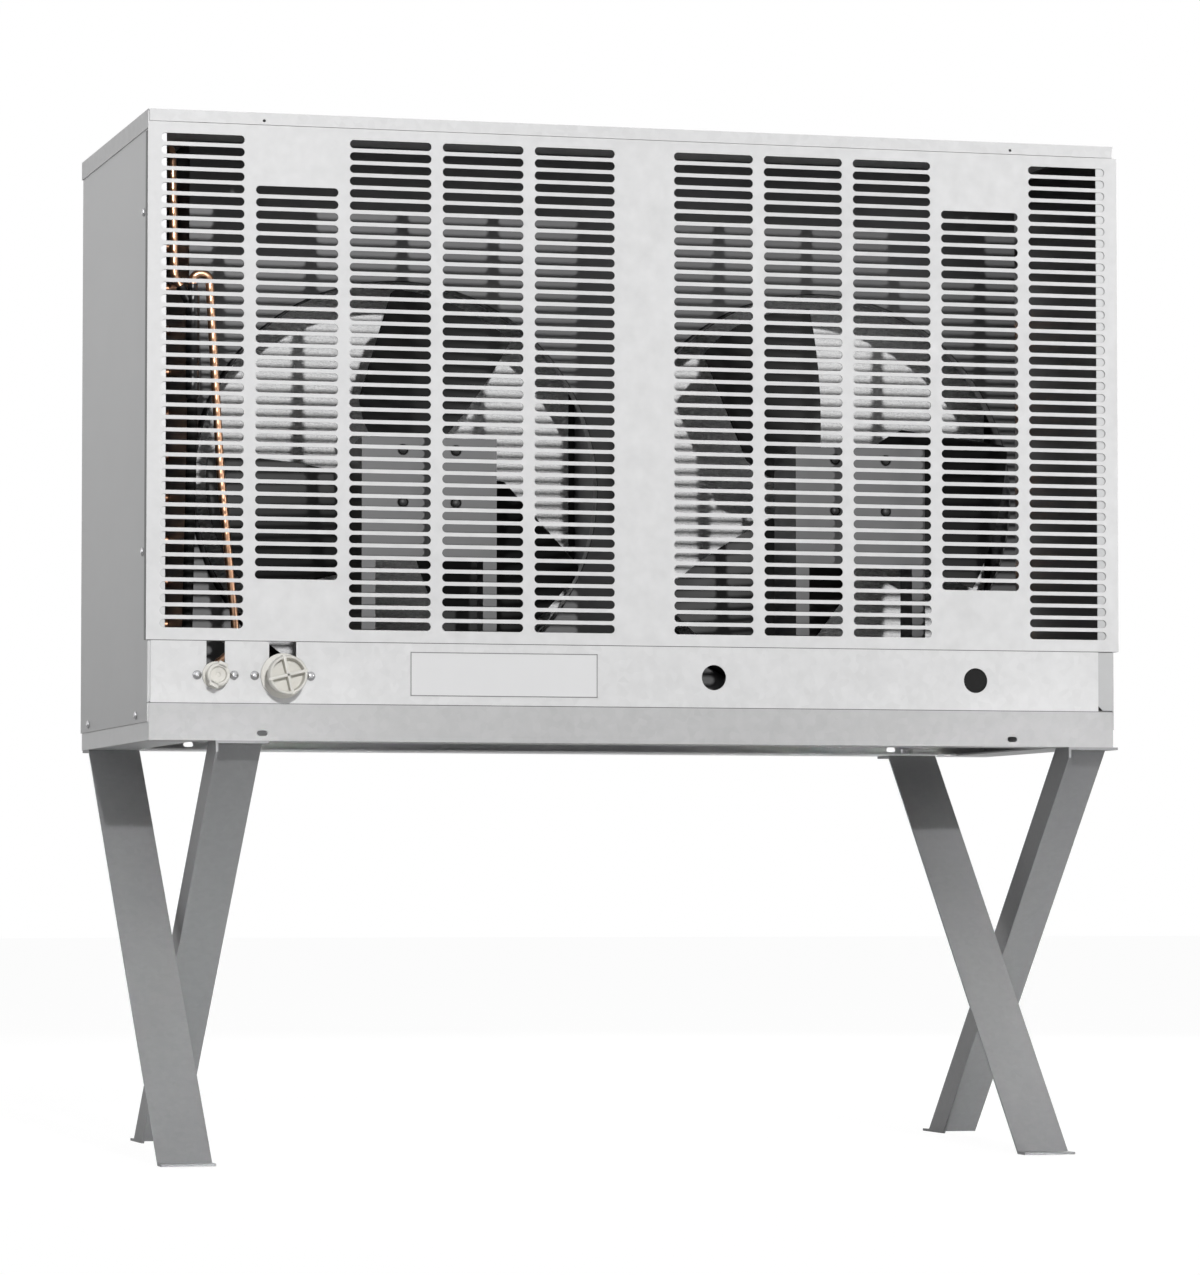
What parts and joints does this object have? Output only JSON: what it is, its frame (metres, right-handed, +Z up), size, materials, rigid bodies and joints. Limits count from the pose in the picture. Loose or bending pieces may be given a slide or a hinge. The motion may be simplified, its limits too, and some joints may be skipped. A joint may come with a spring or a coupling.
{
  "type": "remote condenser",
  "caption": "Air-cooled refrigerant condenser: sheet-metal cabinet with slotted front grille, axial fans, finned coil, capped pipe couplings and crossed steel legs.",
  "frame": {"origin": "on the floor, below the middle of the cabinet", "axes": "+Z up; the slotted grille faces -Y; +X to the right seen from the front"},
  "size_m": [1.1556, 0.62, 1.178],
  "materials": {
    "galvanised_frame": "bright galvanised sheet with a fine spangle",
    "galvanised_panel": "galvanised sheet with a soft satin sheen",
    "galvanised_grille": "galvanised sheet with a fine spangle",
    "galvanised_inner": "galvanised sheet, in shade inside the cabinet",
    "galvanised_bracket": "folded galvanised sheet",
    "leg_steel": "galvanised heavy sheet, duller than the panels",
    "zinc_fastener": "zinc-plated",
    "shaft_steel": "ground steel",
    "motor_black": "satin black paint",
    "fan_black": "satin black paint",
    "fin_aluminium": "bright crinkled fins",
    "copper": "drawn copper tube, slightly dulled",
    "valve_black": "black lacquer",
    "hose_black": "black insulation sleeve",
    "black_rubber": "matt black rubber",
    "black_foam": "closed-cell foam strip",
    "coupling_brass": "machined brass",
    "cap_plastic": "moulded cream-white plastic"
  },
  "bodies": {
    "cabinet": {"base_rail_front": "galvanised_frame", "base_rail_back": "galvanised_frame", "base_rail_left": "galvanised_frame", "base_rail_right": "galvanised_frame", "base_pan": "galvanised_panel", "leg_left_outer": "leg_steel", "leg_left_inner": "leg_steel", "leg_right_inner": "leg_steel", "leg_right_outer": "leg_steel", "leg_bolts": "zinc_fastener", "leg_nuts": "zinc_fastener", "side_panel_left": "galvanised_panel", "side_panel_right": "galvanised_panel", "top_cover": "galvanised_panel", "panel_screws": "zinc_fastener", "front_grille": "galvanised_grille", "connection_panel": "galvanised_grille", "hole_plug": "black_rubber", "fan_shroud": "galvanised_inner", "divider": "galvanised_inner", "motor_bracket_left": "galvanised_bracket", "motor_bracket_right": "galvanised_bracket", "motor_left": "motor_black", "motor_right": "motor_black", "motor_grommets": "black_rubber", "motor_bolts": "zinc_fastener", "coil_fins": "fin_aluminium", "coil_end_left": "galvanised_inner", "coil_end_right": "galvanised_inner", "coil_tubes": "copper", "return_bends_left": "copper", "return_bends_right": "copper", "coil_seals": "black_foam", "discharge_line": "copper", "control_valve": "valve_black", "liquid_line": "copper", "condensate_line": "hose_black", "gas_hose": "hose_black", "coupling_small": "coupling_brass", "coupling_large": "coupling_brass", "coupling_screws": "zinc_fastener"},
    "fan_left": {"fan_shaft_left": "shaft_steel", "fan_hub_left": "fan_black", "fan_blades_left": "fan_black"},
    "fan_right": {"fan_shaft_right": "shaft_steel", "fan_hub_right": "fan_black", "fan_blades_right": "fan_black"},
    "cap_small": {"dust_cap_small": "cap_plastic"},
    "cap_large": {"dust_cap_large": "cap_plastic"}
  },
  "joints": [
    {"name": "fan_left_spin", "type": "hinge", "parent": "cabinet", "child": "fan_left", "pos_m": [-0.2436, -0.065, 0.7745], "axis": [0, 1, 0], "continuous": true},
    {"name": "fan_right_spin", "type": "hinge", "parent": "cabinet", "child": "fan_right", "pos_m": [0.273, -0.065, 0.7745], "axis": [0, 1, 0], "continuous": true},
    {"name": "cap_small_pull", "type": "slide", "parent": "cabinet", "child": "cap_small", "axis": [0, -1, 0], "range_m": [0, 0.03]},
    {"name": "cap_large_pull", "type": "slide", "parent": "cabinet", "child": "cap_large", "axis": [0, -1, 0], "range_m": [0, 0.05]}
  ]
}
